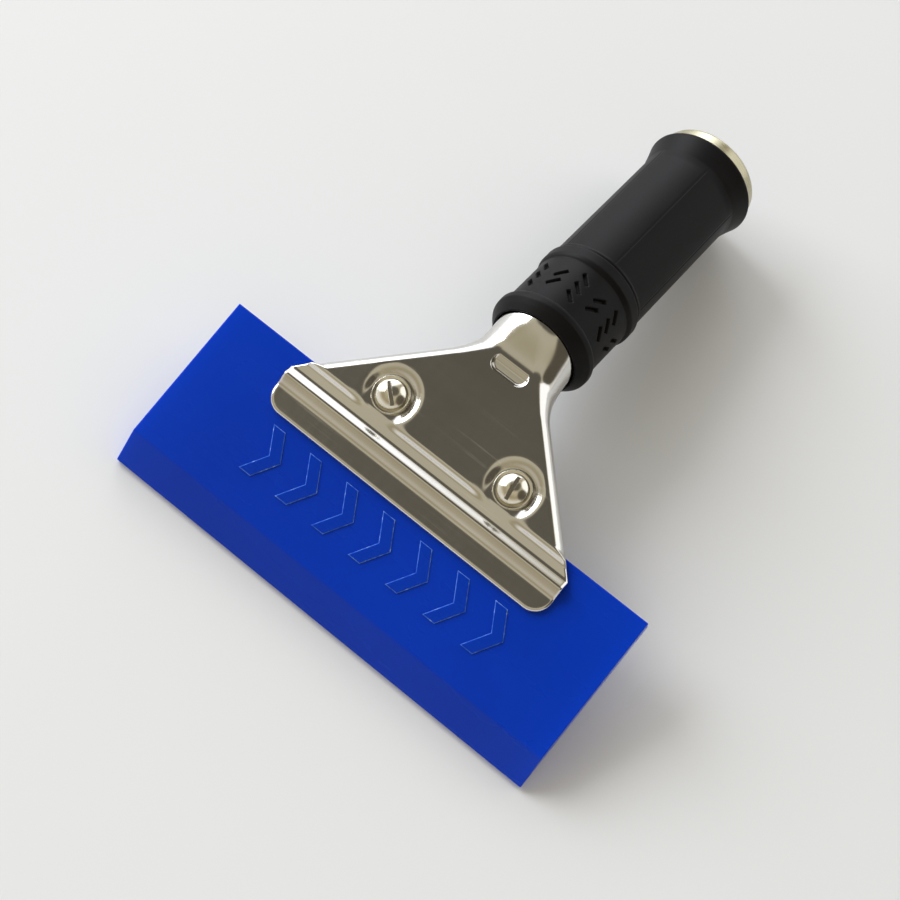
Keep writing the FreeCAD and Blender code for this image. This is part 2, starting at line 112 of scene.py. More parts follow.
# Screws
SCREW_X = 18.8
SCREW_Y = 5.0
RECESS_FLOOR = 1.35
RECESS_FOOT = 5.0
RECESS_RUN = 2.35
RECESS_SPREAD = 0.62
RECESS_MERGE = 1.3
BAND_FALL = 0.5
BAND_FALL_RUN = 4.0
FLOOR_STEP = 0.5
SCREW_HOLE = 2.3
PILL_Y = 27.4
PILL_REACH = 2.75
PILL_RADIUS = 2.5
# Depth of the pressed pill, front to rear
PILL_PROFILE = ((-2.5, 0.0), (-2.15, 1.4), (-1.95, 1.42), (0.4, 0.94), (1.4, 0.27), (1.75, 0.0))
PILL_WALL = 1.6
WASHER_RADIUS = 4.9
WASHER_BORE = 1.88
WASHER_THICKNESS = 0.8
WASHER_DISH = 0.32
WASHER_ROUND = 0.12
HEAD_RADIUS = 3.75
HEAD_RIM = 0.9
HEAD_HEIGHT = 2.5
HEAD_ROUND = 0.3
HEAD_UNDERCUT = 0.12
SCREW_JOINT_Z = 2.0
SLOT_WIDTH = 1.0
SLOT_DEPTH = 1.05
SLOT_ROUND = 0.08
SLOT_ANGLES = {"left": 137.0, "right": 97.0}
SHANK_RADIUS = 1.8
SHANK_CHAMFER = 0.4
NUT_ACROSS_FLATS = 7.0
NUT_HEIGHT = 3.2
NUT_BORE = 2.15
SHANK_PROUD = 0.6

# Grip and end ring
TUBE_RADIUS = 12.0
BAND_RADIUS = 13.75
# Radius of the grip down its length: collar, slotted band, second collar, groove, barrel
GRIP_PROFILE = (
    (0.0, 12.3), (0.5, 12.75), (1.5, 13.6), (2.9, 14.65), (4.4, 14.75), (5.0, 14.5),
    (5.4, BAND_RADIUS), (6.0, BAND_RADIUS), (20.6, BAND_RADIUS), (20.9, 14.1), (21.7, 14.5), (24.6, 14.5),
    (24.85, 13.9), (25.15, 13.9), (25.35, 14.1), (66.0, 14.05),
)
GRIP_BLUR = 0.13
FLARE_START = 69.3
FLARE_POWER = 1.2
GRIP_LENGTH = 75.65
GRIP_RIM_RADIUS = 15.55
GRIP_RIM_ROUND = 0.8
BARREL_RADIUS = 14.05
SLOT_GROUPS = 14
GRIP_SLOT_LENGTH = 3.6
GRIP_SLOT_WIDTH = 0.95
GRIP_SLOT_DEPTH = 0.9
GRIP_SLOT_WALL = 0.22
GRIP_SLOT_PITCH = 3.4
GRIP_SLOT_SLANT = 45.0
BAND_MIDDLE = 13.1
FLUTE_START = 25.4
FLUTE_END = 70.5
FLUTE_COUNT = 6
FLUTE_DEPTH = 0.4
CREASE_DEPTH = 0.17
CREASE_WIDTH = 0.22
FLUTE_TURN = 10.0
# Bore of the grip, from its rim to the lip in its mouth: place, and how far it is wider than the tube
GRIP_BORE = (
    (GRIP_LENGTH, 0.0), (40.0, 0.0), (1.6, 0.0), (1.2, -0.15), (0.35, -0.15), (0.1, -0.08), (0.0, 0.1),
)
FERRULE_START = 76.0
FERRULE_END = 79.7
FERRULE_RADIUS = 14.3
FERRULE_ROUND = 1.2
SPIGOT_RADIUS = 11.0
SOCKET_START = 56.0
SOCKET_RADIUS = 9.5
SOCKET_CHAMFER = 0.8

joints = {joint["name"]: joint for joint in frame["joints"]}
screw_axis = Vector(joints["screw_left_turn"]["axis"])
ROW_TURN = Matrix.Rotation(math.atan2(-screw_axis.y, screw_axis.z), 4, "X")
screw_seat = Vector((-SCREW_X, SCREW_Y, SCREW_JOINT_Z)) * MM
row_origin = Vector(joints["screw_left_turn"]["pos_m"]) - ROW_TURN @ screw_seat
TO_ROW = Matrix.Translation(row_origin) @ ROW_TURN @ Matrix.Scale(MM, 4)
IN_HANDLE = (
    TO_ROW @ Matrix.Translation((0, MOUTH_Y, MOUTH_Z)) @ Matrix.Rotation(math.radians(-HANDLE_DROP), 4, "X")
)


def ease(step):
    """A smooth rise from 0 to 1."""
    step = np.clip(step, 0.0, 1.0)
    return step * step * (3 - 2 * step)


def soft_min(a, b, k):
    """The lower of two surfaces, rounded only where they come within k of each other."""
    near = np.maximum(k - np.abs(a - b), 0)
    return np.minimum(a, b) - near * near / (4 * k)


def rise(t):
    """0 to 1 along a straight ramp with a rounded foot and shoulder."""
    return -soft_min(-soft_min(t, 1.0, 0.45), 0.0, 0.35)


def blurred(profile, at, blur):
    """Height of a polyline with its corners rounded."""
    y, h = np.array(profile).T
    offsets = np.linspace(-2.2, 2.2, 23)
    weights = np.exp(-offsets ** 2 / 2)
    samples = [np.interp(at + blur * o, y, h) * w for o, w in zip(offsets, weights)]
    return np.sum(samples, axis=0) / weights.sum()


def add_piece(name, mesh, material, body, nodes, matrix=TO_ROW):
    """Put a finished bmesh in the scene, in the row frame, riding on its body."""
    data = bpy.data.meshes.new(name)
    mesh.transform(matrix)
    bmesh.ops.recalc_face_normals(mesh, faces=mesh.faces)
    mesh.to_mesh(data)
    mesh.free()
    data.materials.append(material)
    piece = bpy.data.objects.new(name, data)
    bpy.context.scene.collection.objects.link(piece)
    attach(piece, body)
    if nodes:
        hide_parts(*nodes)
    return piece


def shade(piece, angle=35.0):
    """Smooth shading that keeps edges sharper than angle."""
    data = piece.data
    data.shade_smooth()
    data.set_sharp_from_angle(angle=math.radians(angle))


def grid_mesh(outer, inner, keep):
    """A closed sheet between two grids of points, with only the cells in keep."""
    rows, columns = outer.shape[:2]
    count = rows * columns
    index = np.arange(count).reshape(rows, columns)
    corners = np.stack([index[:-1, :-1], index[:-1, 1:], index[1:, 1:], index[1:, :-1]], axis=-1)
    cells = corners[keep]
    faces = [cells, cells[:, ::-1] + count]
    padded = np.pad(keep, 1)
    for axis, (a, b) in ((0, (0, 1)), (1, (3, 0)), (0, (2, 3)), (1, (1, 2))):
        step = -1 if (a, b) in ((0, 1), (3, 0)) else 1
        beside = np.roll(padded, -step, axis=axis)[1:-1, 1:-1]
        open_cells = corners[keep & ~beside]
        first, second = open_cells[:, a], open_cells[:, b]
        faces.append(np.stack([second, first, first + count, second + count], axis=-1))
    faces = np.concatenate(faces)
    points = np.concatenate([outer.reshape(-1, 3), inner.reshape(-1, 3)])
    used = np.unique(faces)
    lookup = np.zeros(len(points), int)
    lookup[used] = np.arange(len(used))
    data = bpy.data.meshes.new("sheet")
    data.from_pydata(points[used].tolist(), [], lookup[faces].tolist())
    mesh = bmesh.new()
    mesh.from_mesh(data)
    bpy.data.meshes.remove(data)
    return mesh


def jaw_half_width(y):
    """Half width of the lip at each row: round front corners, then 45 degree cuts to the plate."""
    deep = np.clip(JAW_CORNER - (y + GRIP_DEPTH), 0, JAW_CORNER)
    rounded = JAW_HALF_WIDTH - JAW_CORNER + np.sqrt(JAW_CORNER ** 2 - deep ** 2)
    return np.minimum(rounded, PLATE_HALF_WIDTH - y)


def edge_distance(x, y):
    """Distance in plan from the lip's outline, along X on the 45 degree cuts."""
    centre_x = JAW_HALF_WIDTH - JAW_CORNER
    centre_y = JAW_CORNER - GRIP_DEPTH
    beyond = np.hypot(np.maximum(np.abs(x) - centre_x, 0), np.maximum(centre_y - y, 0))
    return np.clip(np.minimum(JAW_CORNER - beyond, PLATE_HALF_WIDTH - y - np.abs(x)), 0, None)


def fold_drop(distance, radius):
    """How far a rounded edge falls at a distance from the outline."""
    short = np.clip(radius - distance, 0, radius)
    return radius - np.sqrt(np.maximum(radius ** 2 - short ** 2, 0))


def head_rows(flip):
    """Stations of the head: Y, Z, tilt, half width, height, fold radius and whether there is a side wall."""
    drop = math.radians(HANDLE_DROP)
    radius = NECK_RADIUS - (TAIL_SLACK if flip else 0)
    tail = LOWER_TAIL if flip else UPPER_TAIL
    front = -GRIP_DEPTH + RIM_ROUND * (1 - np.cos(np.linspace(0, math.pi / 2, 8)))
    lip = np.concatenate([
        front,
        np.linspace(front[-1], LIP_FINE_FROM, 12)[1:],
        np.linspace(LIP_FINE_FROM, PLATE_REAR, 94)[1:],
    ])
    rows = []
    # Lip, ridge and valley: no side walls
    for y in lip:
        top = float(blurred(LIP_PROFILE, y, PROFILE_BLUR)) if y < HOLLOW_START else PLATE_TOP
        rows.append((y, MID_Z, 0.0, float(jaw_half_width(y)), top - MID_Z, FOLD_RADIUS, False))
    # Plate, narrowing at 45 degrees
    upright = PLATE_TOP - NECK_START_Z
    low = LOWER_NECK_HEIGHT
    plate = np.concatenate([
        np.linspace(PLATE_REAR, PLATE_FINE_TO, 84)[1:], np.linspace(PLATE_FINE_TO, NECK_START, 17)[1:],
    ])
    for y in plate:
        z = MID_Z + (NECK_START_Z - MID_Z) * y / NECK_START
        height = PLATE_TOP - z
        if flip:
            height = PLATE_TOP - MID_Z + (low - PLATE_TOP + MID_Z) * y / NECK_START
        rows.append((y, z, 0.0, PLATE_HALF_WIDTH - y, height, FOLD_RADIUS, True))
    # Neck, swelling from the flat plate to a half round and turning down to the handle
    for step in np.linspace(0, 1, 90)[1:]:
        half = radius + (PLATE_HALF_WIDTH - NECK_START - radius) * (1 - step) ** 3
        height = upright + (radius - upright) * float(ease((step - SWELL_START) / (1 - SWELL_START)))
        if flip:
            height = low + (radius - low) * step
        rows.append((
            NECK_START + (MOUTH_Y - NECK_START) * step,
            NECK_START_Z + (MOUTH_Z - NECK_START_Z) * step,
            drop * float(ease(step)), half, height,
            FOLD_RADIUS + (radius - FOLD_RADIUS) * float(ease(step)), True,
        ))
    # Half-round tail in the mouth of the grip, and the upper jaw's tang in the tube
    stations = [(along, radius) for along in np.linspace(0, tail, 6)[1:]]
    if not flip:
        stations += [(along, TANG_RADIUS) for along in np.linspace(TANG_START, TANG_END, 9)]
    for along, bend in stations:
        y = MOUTH_Y + along * math.cos(drop)
        z = MOUTH_Z - along * math.sin(drop)
        rows.append((y, z, drop, bend, bend, bend, True))
    return np.array([row[:6] for row in rows]), np.array([row[6] for row in rows])


def hollow_depth(x, y):
    """How far the band behind the ridge and the screw recesses that open into it lie below the plate."""
    beside = np.abs(np.abs(x) - SCREW_X)
    from_screw = np.hypot(beside, y - SCREW_Y)
    away = np.hypot(beside, (y - SCREW_Y) * np.where(y < SCREW_Y, RECESS_SPREAD, 1.0))
    band = blurred(LIP_PROFILE, np.minimum(y, 0.0) * np.ones_like(x), PROFILE_BLUR)
    band = band - BAND_FALL * ease(y / BAND_FALL_RUN)
    past_washer = ease((from_screw - WASHER_RADIUS + FLOOR_STEP) / FLOOR_STEP)
    base = RECESS_FLOOR + (band - RECESS_FLOOR) * past_washer
    from_band = (y - RISE_START) / RISE_RUN
    from_recess = (away - RECESS_FOOT) / RECESS_RUN
    return (PLATE_TOP - base) * (1 - rise(soft_min(from_recess, from_band, RECESS_MERGE)))


def pill_depth(x, y):
    """Depth of the pressed pill: a short front wall, then a floor that climbs to the rear."""
    across = y - PILL_Y
    inside = PILL_RADIUS - np.hypot(np.maximum(np.abs(x) - PILL_REACH, 0), across)
    depth = soft_min(blurred(PILL_PROFILE, across, 0.1), PILL_WALL * inside, 0.35)
    return np.maximum(depth, 0)


def head_surface(rows, inset, flip, flat, arc, wall):
    """Points of the outer (inset 0) or inner face of half of the head."""
    y, z, tilt, half, height, fold = [column[:, None] for column in rows.T]
    neck = ease((y - NECK_START) / NECK_FADE)
    cut = inset * (math.sqrt(2) * (1 - neck) + neck)
    behind = ease((y + PLATE_REAR) / (2 * PLATE_REAR))
    half_in = half - cut * behind
    fold_in = np.maximum(fold - inset * behind, 0.5)
    straight = half_in - fold_in
    right_arc = straight + fold_in * np.sin(arc)[None, :]
    x_top = np.concatenate([-right_arc[:, ::-1], straight * flat[None, :], right_arc], axis=1)
    distance = np.where(y < PLATE_REAR, edge_distance(x_top, y), half_in - np.abs(x_top))
    if inset:
        distance = half_in - np.abs(x_top)
    rim = RIM_ROUND + (FOLD_RADIUS - RIM_ROUND) * ease((y + RIM_FADE) / (RIM_FADE + PLATE_REAR))
    rounding = np.where(y < PLATE_REAR, rim, fold_in)
    if inset:
        rounding = np.where(y < PLATE_REAR, fold_in * behind, fold_in)
    drop = fold_drop(distance, np.maximum(rounding, 1e-6))
    h_top = height - inset - drop
    h_top = h_top - np.where(y < HOLLOW_START, 0.0, hollow_depth(x_top, y))
    if not flip:
        h_top = h_top - pill_depth(x_top, y + h_top * np.sin(tilt))
    top_of_wall = height - inset - fold_in
    if inset:
        top_of_wall = h_top[:, :1]
    base = PARTING_GAP if flip else 0.0
    h_wall = base + (top_of_wall - base) * (1 - wall)[None, :]
    x_wall = half_in * np.ones_like(h_wall)
    x = np.concatenate([-x_wall[:, ::-1], x_top, x_wall], axis=1)
    h = np.concatenate([h_wall[:, ::-1], h_top, h_wall], axis=1)
    side = -1 if flip else 1
    return np.stack([x, y + side * h * np.sin(tilt), z + side * h * np.cos(tilt)], axis=-1)


def half_head(name, flip, material, body, node):
    """One stamped half of the head as a closed sheet with screw holes."""
    rows, walled = head_rows(flip)
    flat = np.linspace(-1, 1, 301)
    arc = np.radians(np.linspace(0, 90, 13)[1:])
    wall = np.linspace(0, 1, 9)[1:]
    outer = head_surface(rows, 0.0, flip, flat, arc, wall)
    inner = head_surface(rows, SHEET, flip, flat, arc, wall)
    keep = np.ones((outer.shape[0] - 1, outer.shape[1] - 1), bool)
    lip_rows = ~walled[1:] | ~walled[:-1]
    keep[lip_rows, :len(wall)] = False
    keep[lip_rows, -len(wall):] = False
    for centre in (-SCREW_X, SCREW_X):
        away = np.hypot(outer[..., 0] - centre, outer[..., 1] - SCREW_Y)
        inside = away < SCREW_HOLE
        holed = inside[:-1, :-1] | inside[1:, :-1] | inside[:-1, 1:] | inside[1:, 1:]
        keep &= ~holed
        touched = np.zeros(away.shape, bool)
        for rows_slice in (slice(0, -1), slice(1, None)):
            for columns_slice in (slice(0, -1), slice(1, None)):
                touched[rows_slice, columns_slice] |= holed
        rim = touched & ~inside
        for points in (outer, inner):
            reach = np.hypot(points[..., 0] - centre, points[..., 1] - SCREW_Y)[rim]
            points[rim, 0] = centre + (points[rim, 0] - centre) * SCREW_HOLE / reach
            points[rim, 1] = SCREW_Y + (points[rim, 1] - SCREW_Y) * SCREW_HOLE / reach
    mesh = grid_mesh(outer, inner, keep)
    # Where the half round has no side wall, the wall's points lie on top of each other
    bmesh.ops.remove_doubles(mesh, verts=mesh.verts[:], dist=1e-5)
    piece = add_piece(name, mesh, material, body, [node])
    shade(piece, 50)
    return piece


def lathe(profile, segments=96, closed=True, radius_of=None):
    """Turn a section, given as (radius, along) pairs, about the Y axis."""
    mesh = bmesh.new()
    rings = []
    for radius, along in profile:
        ring = []
        for step in range(segments):
            angle = 2 * math.pi * step / segments
            r = radius_of(radius, along, angle) if radius_of else radius
            ring.append(mesh.verts.new((r * math.sin(angle), along, r * math.cos(angle))))
        rings.append(ring)
    pairs = list(zip(rings, rings[1:]))
    if closed:
        pairs.append((rings[-1], rings[0]))
    for a, b in pairs:
        for step in range(segments):
            after = (step + 1) % segments
            mesh.faces.new((a[step], a[after], b[after], b[step]))
    return mesh


def rounded(points, radius, steps=4):
    """A closed section with each corner turned into a small arc."""
    result = []
    count = len(points)
    for index in range(count):
        before, corner, after = (Vector(points[(index + k) % count]) for k in (-1, 0, 1))
        into, out = (before - corner), (after - corner)
        reach = min(radius, into.length * 0.45, out.length * 0.45)
        first, last = corner + into.normalized() * reach, corner + out.normalized() * reach
        for step in range(steps + 1):
            t = step / steps
            point = first * (1 - t) ** 2 + corner * 2 * t * (1 - t) + last * t * t
            result.append(tuple(point))
    return result


UPRIGHT = Matrix.Rotation(math.radians(90), 4, "X")


def grip_radius(along, angle):
    """Outer radius of the grip: collars, waist, groove, long panels, flare and slanted slots."""
    flare = BARREL_RADIUS + (GRIP_RIM_RADIUS - BARREL_RADIUS) * np.clip(
        (along - FLARE_START) / (GRIP_LENGTH - GRIP_RIM_ROUND - FLARE_START), 0, 1) ** FLARE_POWER
    radius = np.where(along > FLARE_START, flare, blurred(GRIP_PROFILE, along, GRIP_BLUR))
    late = np.clip(along - (GRIP_LENGTH - GRIP_RIM_ROUND), 0, GRIP_RIM_ROUND)
    radius = radius - GRIP_RIM_ROUND + np.sqrt(GRIP_RIM_ROUND ** 2 - late ** 2)
    turned = (angle - math.radians(FLUTE_TURN)) / (2 * math.pi)
    panel = np.abs(((turned * FLUTE_COUNT) % 1) * 2 - 1)
    hollow = 1 - panel ** 2
    ends = ease((along - FLUTE_START) / 1.0) * ease((FLUTE_END - along) / 3.5)
    from_crest = (1 - panel) * math.pi * BARREL_RADIUS / FLUTE_COUNT
    crease = CREASE_DEPTH * np.exp(-(from_crest / CREASE_WIDTH) ** 2)
    radius = radius - (FLUTE_DEPTH * hollow + crease) * ends
    for group in range(SLOT_GROUPS):
        centre = 2 * math.pi * group / SLOT_GROUPS
        around = (angle - centre + math.pi) % (2 * math.pi) - math.pi
        width = around * BAND_RADIUS
        three = group % 2 == 0
        slant = math.radians(GRIP_SLOT_SLANT if three else -GRIP_SLOT_SLANT)
        for offset in ((-1, 0, 1) if three else (-0.5, 0.5)):
            down = along - BAND_MIDDLE - offset * GRIP_SLOT_PITCH
            u = width * math.cos(slant) + down * math.sin(slant)
            v = -width * math.sin(slant) + down * math.cos(slant)
            outside = np.maximum(np.abs(u) - GRIP_SLOT_WIDTH / 2, np.abs(v) - GRIP_SLOT_LENGTH / 2)
            radius = radius - GRIP_SLOT_DEPTH * ease(0.5 - outside / GRIP_SLOT_WALL)
    return radius


def grip_mesh():
    """The moulded grip as one closed skin: outside, rim, bore and the lip in its mouth."""
    segments = 576
    angle = np.linspace(0, 2 * math.pi, segments, endpoint=False)[None, :]
    along = np.concatenate([
        np.linspace(0, 6, 32), np.linspace(6, 20.3, 73)[1:], np.linspace(20.3, 27.5, 42)[1:],
        np.linspace(27.5, 64.0, 28)[1:], np.linspace(64.0, GRIP_LENGTH - GRIP_RIM_ROUND, 36)[1:],
        GRIP_LENGTH - GRIP_RIM_ROUND * np.cos(np.radians(np.linspace(0, 88, 7)[1:])),
    ])[:, None]
    outer = grip_radius(along, angle) * np.ones_like(angle)
    inner_along, wider = (column[:, None] for column in np.array(GRIP_BORE).T)
    inner = TUBE_RADIUS + wider
    radius = np.concatenate([outer, inner * np.ones_like(angle)])
    along = np.concatenate([along, inner_along])
    points = np.stack([radius * np.sin(angle), along * np.ones_like(angle), radius * np.cos(angle)], axis=-1)
    rows = len(points)
    index = np.arange(rows * segments).reshape(rows, segments)
    below, beside = np.roll(index, -1, axis=0), np.roll(index, -1, axis=1)
    faces = np.stack([index, beside, np.roll(below, -1, axis=1), below], axis=-1).reshape(-1, 4)
    data = bpy.data.meshes.new("grip")
    data.from_pydata(points.reshape(-1, 3).tolist(), [], faces.tolist())
    mesh = bmesh.new()
    mesh.from_mesh(data)
    bpy.data.meshes.remove(data)
    return mesh


def screw_mesh(slot_angle):
    """Domed head with a cut slot, over a plain shank, drawn about Z from the seat of the head."""
    dome = HEAD_HEIGHT - HEAD_RIM
    curve = (HEAD_RADIUS ** 2 + dome ** 2) / (2 * dome)
    spread = math.asin(HEAD_RADIUS / curve)
    # The shank goes through both jaws and the nut, and stands a little proud of it
    tip = 2 * MID_Z - 2 * RECESS_FLOOR - NUT_HEIGHT - SHANK_PROUD - WASHER_THICKNESS
    section = []
    for step in range(1, 17):
        angle = spread * step / 17
        section.append((curve * math.sin(angle), HEAD_HEIGHT - curve * (1 - math.cos(angle))))
    for step in range(5):
        angle = math.radians(35 + 55 * step / 4)
        section.append((
            HEAD_RADIUS - HEAD_ROUND + HEAD_ROUND * math.sin(angle),
            HEAD_RIM - 0.6 * HEAD_ROUND + HEAD_ROUND * math.cos(angle),
        ))
    section += [(HEAD_RADIUS, HEAD_UNDERCUT), (HEAD_RADIUS - HEAD_UNDERCUT, 0.0), (SHANK_RADIUS, 0.0)]
    section += [(SHANK_RADIUS, tip + SHANK_CHAMFER), (SHANK_RADIUS - SHANK_CHAMFER, tip)]
    mesh = lathe([(r, -z) for r, z in section], 96, False)
    mesh.transform(Matrix.Rotation(math.radians(-90), 4, "X"))
    open_edges = [e for e in mesh.edges if e.is_boundary]
    bmesh.ops.holes_fill(mesh, edges=open_edges)
    floor = HEAD_HEIGHT - SLOT_DEPTH
    half = SLOT_WIDTH / 2
    for point, normal in (((0, half, 0), (0, 1, 0)), ((0, -half, 0), (0, 1, 0)), ((0, 0, floor), (0, 0, 1))):
        geometry = mesh.verts[:] + mesh.edges[:] + mesh.faces[:]
        bmesh.ops.bisect_plane(mesh, geom=geometry, dist=1e-5, plane_co=point, plane_no=normal)
    cut = []
    for face in mesh.faces:
        middle = face.calc_center_median()
        if abs(middle.y) < half and middle.z > floor:
            cut.append(face)
    bmesh.ops.delete(mesh, geom=cut, context="FACES")
    rim = [v for v in mesh.verts if v.is_boundary]
    sides = []
    for sign in (1, -1):
        side = sorted((v for v in rim if abs(v.co.y - sign * half) < 1e-4), key=lambda v: v.co.x)
        mesh.faces.new(side)
        sides.append(side)
    level = [v for v in rim if abs(v.co.z - floor) < 1e-4]
    left = sorted((v for v in level if v.co.x < 0), key=lambda v: v.co.y)
    right = sorted((v for v in level if v.co.x > 0), key=lambda v: -v.co.y)
    mesh.faces.new(left + right)
    mesh.verts.index_update()
    bmesh.ops.recalc_face_normals(mesh, faces=mesh.faces)
    sharp = [
        e for e in mesh.edges
        if len(e.link_faces) == 2 and e.calc_face_angle() > math.radians(25)
        and abs(abs(e.verts[0].co.y) - half) < 1e-4 and e.verts[0].co.z > floor + 0.01
        and abs(abs(e.verts[1].co.y) - half) < 1e-4
    ]
    bmesh.ops.bevel(mesh, geom=sharp, offset=SLOT_ROUND, segments=1, affect="EDGES")
    mesh.transform(Matrix.Rotation(math.radians(slot_angle), 4, "Z"))
    return mesh


def nut_radius(radius, _along, angle):
    """Hexagonal outline with its corners turned off towards the open end."""
    if radius < NUT_ACROSS_FLATS / 2 - 0.6:
        return radius
    turn = (angle + math.pi / 6) % (math.pi / 3) - math.pi / 6
    flat = NUT_ACROSS_FLATS / 2 / math.cos(turn)
    return min(flat, radius)


def prism(section, length, bevel):
    """A bar with the given (y, z) section along X, its edges rounded."""
    mesh = bmesh.new()
    ends = []
    for x in (-length / 2, length / 2):
        ends.append([mesh.verts.new((x, y, z)) for y, z in section])
    mesh.faces.new(ends[0])
    mesh.faces.new(ends[1][::-1])
    count = len(section)
    for index in range(count):
        after = (index + 1) % count
        mesh.faces.new((ends[0][index], ends[1][index], ends[1][after], ends[0][after]))
    bmesh.ops.recalc_face_normals(mesh, faces=mesh.faces)
    bmesh.ops.bevel(mesh, geom=mesh.edges[:], offset=bevel, segments=3, affect="EDGES", profile=0.6)
    return mesh


def chevron_mesh(x):
    """One raised arrow of the pattern pressed into the blade."""
    middle = (MARK_FRONT + MARK_REAR) / 2
    arm = MARK_ARM * math.sqrt(2)
    outline = [
        (x, MARK_FRONT), (x + arm, MARK_FRONT), (x + arm + MARK_POINT, middle),
        (x + arm, MARK_REAR), (x, MARK_REAR), (x + MARK_POINT, middle),
    ]
    mesh = bmesh.new()
    low = [mesh.verts.new((px, py, -MARK_HEIGHT)) for px, py in outline]
    high = [mesh.verts.new((px, py, MARK_HEIGHT)) for px, py in outline]
    mesh.faces.new(low)
    mesh.faces.new(high)
    for index in range(len(outline)):
        after = (index + 1) % len(outline)
        mesh.faces.new((low[index], low[after], high[after], high[index]))
    bmesh.ops.recalc_face_normals(mesh, faces=mesh.faces)
    upper = [e for e in mesh.edges if all(v.co.z > 0 for v in e.verts)]
    rims = bmesh.ops.bevel(mesh, geom=upper, offset=MARK_ROUND, segments=2, affect="EDGES")
    # The rounded rims take the second material, whose lighter blue is a painted highlight
    for face in rims["faces"]:
        face.material_index = 1
    return mesh


def blade_mesh():
    """The bevelled blade with its row of raised marks."""
    section = [
        (0, 0), (0, -BLADE_THICKNESS), (-BLADE_DEPTH, -BLADE_THICKNESS),
        (-BLADE_DEPTH, -BEVEL_DROP), (BEVEL_RUN - BLADE_DEPTH, 0),
    ]
    mesh = prism(section, BLADE_LENGTH, BLADE_ROUND)
    first = -MARK_PITCH * (MARK_COUNT - 1) / 2 - MARK_ARM
    for index in range(MARK_COUNT):
        mark = chevron_mesh(first + MARK_PITCH * index)
        data = bpy.data.meshes.new("mark")
        mark.to_mesh(data)
        mark.free()
        mesh.from_mesh(data)
        bpy.data.meshes.remove(data)
    return mesh


class Nodes:
    """A small helper that wires one material's nodes."""

    def __init__(self, name):
        """Start a material whose textures follow object coordinates."""
        self.material = bpy.data.materials.new(name)
        self.material.use_nodes = True
        self.tree = self.material.node_tree
        self.shader = self.tree.nodes["Principled BSDF"]
        self.where = self.tree.nodes.new("ShaderNodeTexCoord").outputs["Object"]

    def link(self, a, b):
        """Join an output to an input."""
        self.tree.links.new(a, b)

    def noise(self, scale, stretch=(1, 1, 1), detail=4.0, turn=(0, 0, 0)):
        """Noise in object coordinates; scale counts features per metre."""
        mapping = self.tree.nodes.new("ShaderNodeMapping")
        mapping.inputs["Scale"].default_value = stretch
        mapping.inputs["Rotation"].default_value = [math.radians(a) for a in turn]
        self.link(self.where, mapping.inputs["Vector"])
        noise = self.tree.nodes.new("ShaderNodeTexNoise")
        noise.inputs["Scale"].default_value = scale
        noise.inputs["Detail"].default_value = detail
        self.link(mapping.outputs["Vector"], noise.inputs["Vector"])
        return noise.outputs["Fac"]

    def math(self, operation, a, b=0.0):
        """One sum on sockets or plain numbers."""
        node = self.tree.nodes.new("ShaderNodeMath")
        node.operation = operation
        for socket, value in zip(node.inputs, (a, b)):
            if isinstance(value, (int, float)):
                socket.default_value = value
            else:
                self.link(value, socket)
        return node.outputs[0]

    def ramp(self, source, stops):
        """Colour or value stops: (place, colour)."""
        node = self.tree.nodes.new("ShaderNodeValToRGB")
        elements = node.color_ramp.elements
        while len(elements) < len(stops):
            elements.new(0.5)
        for element, (place, colour) in zip(elements, stops):
            element.position = place
            shade_of = colour if hasattr(colour, "__len__") else (colour, colour, colour)
            element.color = (*shade_of, 1)
        self.link(source, node.inputs["Fac"])
        return node.outputs["Color"]

    def mix(self, factor, a, b):
        """Blend two colours."""
        node = self.tree.nodes.new("ShaderNodeMix")
        node.data_type = "RGBA"
        for socket, value in ((node.inputs["Factor"], factor), (node.inputs[6], a), (node.inputs[7], b)):
            if isinstance(value, (int, float)):
                socket.default_value = value
            elif hasattr(value, "__len__"):
                socket.default_value = (*value, 1)
            else:
                self.link(value, socket)
        return node.outputs[2]

    def axis(self, name):
        """One of the object coordinates."""
        node = self.tree.nodes.new("ShaderNodeSeparateXYZ")
        self.link(self.where, node.inputs[0])
        return node.outputs[name]

    def colour(self, source):
        """Use a socket as the base colour."""
        self.link(source, self.shader.inputs["Base Color"])

    def roughness(self, source, low, high):
        """Roughness from low to high as source goes from 0 to 1."""
        node = self.tree.nodes.new("ShaderNodeMapRange")
        node.inputs["To Min"].default_value = low
        node.inputs["To Max"].default_value = high
        self.link(source, node.inputs["Value"])
        self.link(node.outputs["Result"], self.shader.inputs["Roughness"])

    def bump(self, source, distance, strength=1.0, under=None):
        """Fine relief, distance metres deep, on top of another bump if one is given."""
        node = self.tree.nodes.new("ShaderNodeBump")
        node.inputs["Distance"].default_value = distance
        node.inputs["Strength"].default_value = strength
        self.link(source, node.inputs["Height"])
        if under is not None:
            self.link(under, node.inputs["Normal"])
        self.link(node.outputs["Normal"], self.shader.inputs["Normal"])
        return node.outputs["Normal"]

    def set(self, **sockets):
        """Fixed values, set on the shader's own sockets."""
        for name, value in sockets.items():
            self.shader.inputs[name.replace("_", " ")].default_value = value


